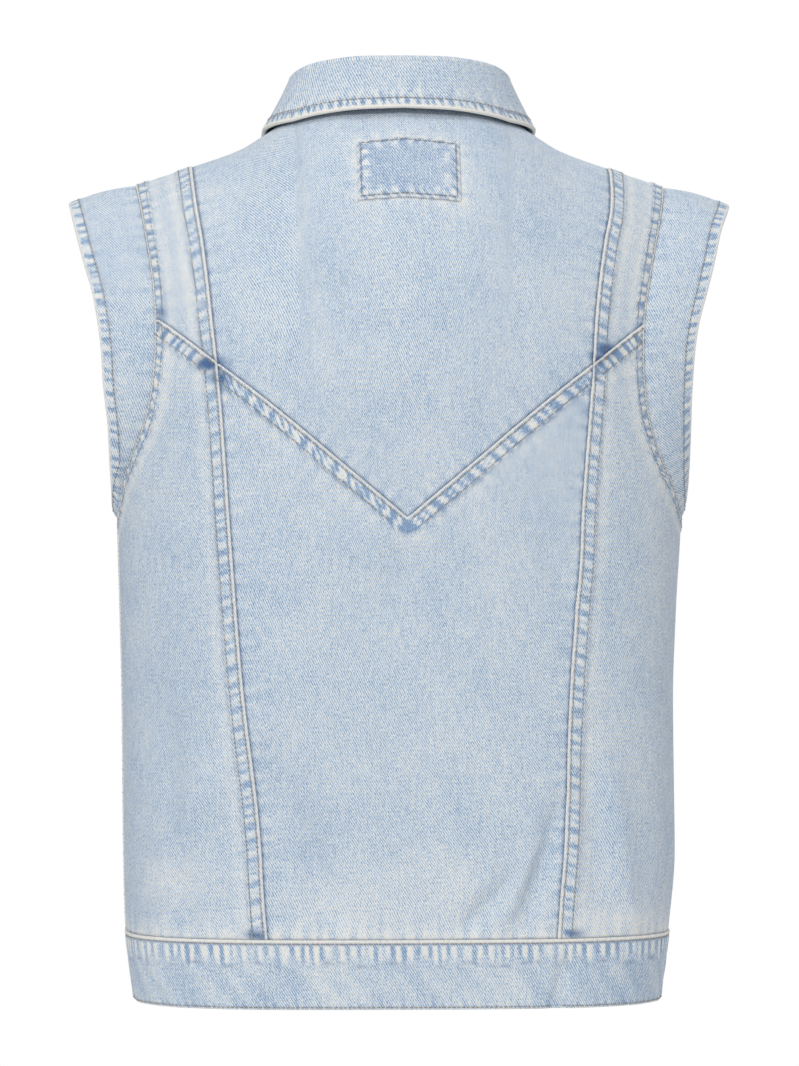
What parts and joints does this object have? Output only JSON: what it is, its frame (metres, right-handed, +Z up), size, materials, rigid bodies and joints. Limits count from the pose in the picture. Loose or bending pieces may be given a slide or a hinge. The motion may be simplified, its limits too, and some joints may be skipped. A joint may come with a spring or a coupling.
{
  "type": "denim vest",
  "caption": "Light-wash denim vest with a fold-over collar, V back yoke, princess seams, cap sleeves and a hem band, filled out as if worn.",
  "frame": {"origin": "middle of the neck opening at the height of the neck ends of the shoulders, where a hanger or a wearer's neck holds the vest", "axes": "+Z up, -Y out of the buttoned front, +Y out of the back with the V yoke, +X towards the wearer's left arm"},
  "size_m": [0.456, 0.2405, 0.643],
  "materials": {
    "denim": "washed light blue twill, matt",
    "patch_denim": "mid blue twill, matt",
    "button_metal": "aged, satin"
  },
  "bodies": {
    "root": {"yoke_back": "denim", "yoke_side_left": "denim", "yoke_side_right": "denim", "back_lower": "denim", "back_side_left": "denim", "back_side_right": "denim", "front_left": "denim", "front_right": "denim", "placket_left": "denim", "placket_right": "denim", "sleeve_left": "denim", "sleeve_right": "denim", "collar": "denim", "hem_band": "denim", "neck_patch": "patch_denim", "button_1": "button_metal", "button_2": "button_metal", "button_3": "button_metal", "button_4": "button_metal", "button_5": "button_metal", "button_6": "button_metal"}
  },
  "joints": []
}
